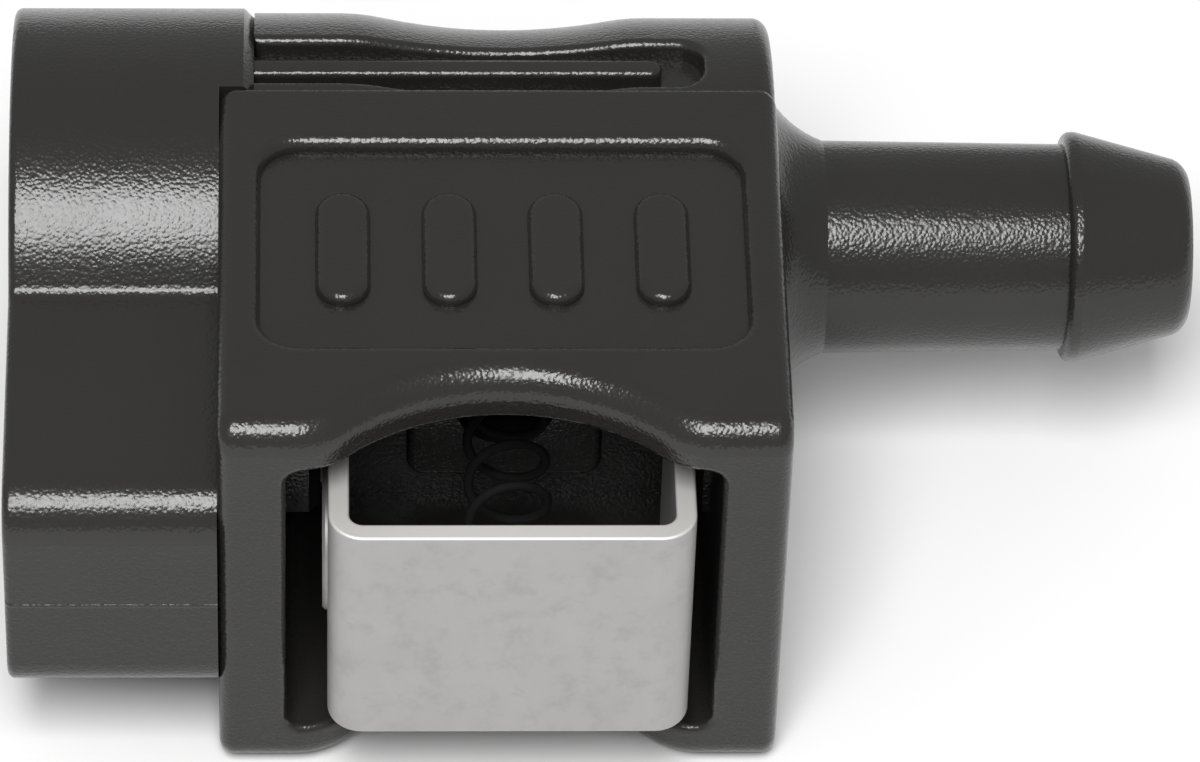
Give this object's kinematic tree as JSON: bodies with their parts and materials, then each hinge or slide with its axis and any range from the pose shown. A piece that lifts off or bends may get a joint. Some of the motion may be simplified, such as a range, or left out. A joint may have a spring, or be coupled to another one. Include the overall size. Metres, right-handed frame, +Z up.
{
  "type": "plastic quick disconnect coupling",
  "caption": "Dark plastic quick disconnect fuel line coupling: keyhole socket for a probe and guide pin, sprung steel push latch in an open block, and a hose barb.",
  "frame": {"origin": "centre of the probe's bore at the socket's mouth", "axes": "+X along the fuel line from the socket's mouth to the hose barb, -Y out of the latch button, +Z up, with the coupling lying on a flat side"},
  "size_m": [0.0522, 0.0339, 0.0212],
  "materials": {
    "housing_plastic": "satin moulded with a fine spark-eroded grain, warm dark grey",
    "nose_plastic": "satin moulded with a fine spark-eroded grain, warm dark grey",
    "latch_steel": "satin stainless strip, faintly smudged",
    "spring_steel": "drawn spring wire",
    "valve_plastic": "plain turned acetal",
    "seal_rubber": "plain black rubber"
  },
  "bodies": {
    "body": {"housing": "housing_plastic", "socket_nose": "nose_plastic", "probe_seal": "seal_rubber", "body_seal": "seal_rubber", "valve_spring": "spring_steel", "latch_spring": "spring_steel"},
    "latch_slider": {"latch": "latch_steel"},
    "valve": {"valve_plunger": "valve_plastic", "plunger_seal": "seal_rubber"}
  },
  "joints": [
    {"name": "latch_press", "type": "slide", "parent": "body", "child": "latch_slider", "axis": [0, 1, 0], "range_m": [0, 0.0019], "stiffness_N_per_m": 300, "springref_m": -0.003, "deforming": ["latch_spring"]},
    {"name": "valve_open", "type": "slide", "parent": "body", "child": "valve", "axis": [1, 0, 0], "range_m": [0, 0.003], "stiffness_N_per_m": 150, "springref_m": -0.003, "deforming": ["valve_spring"]}
  ]
}
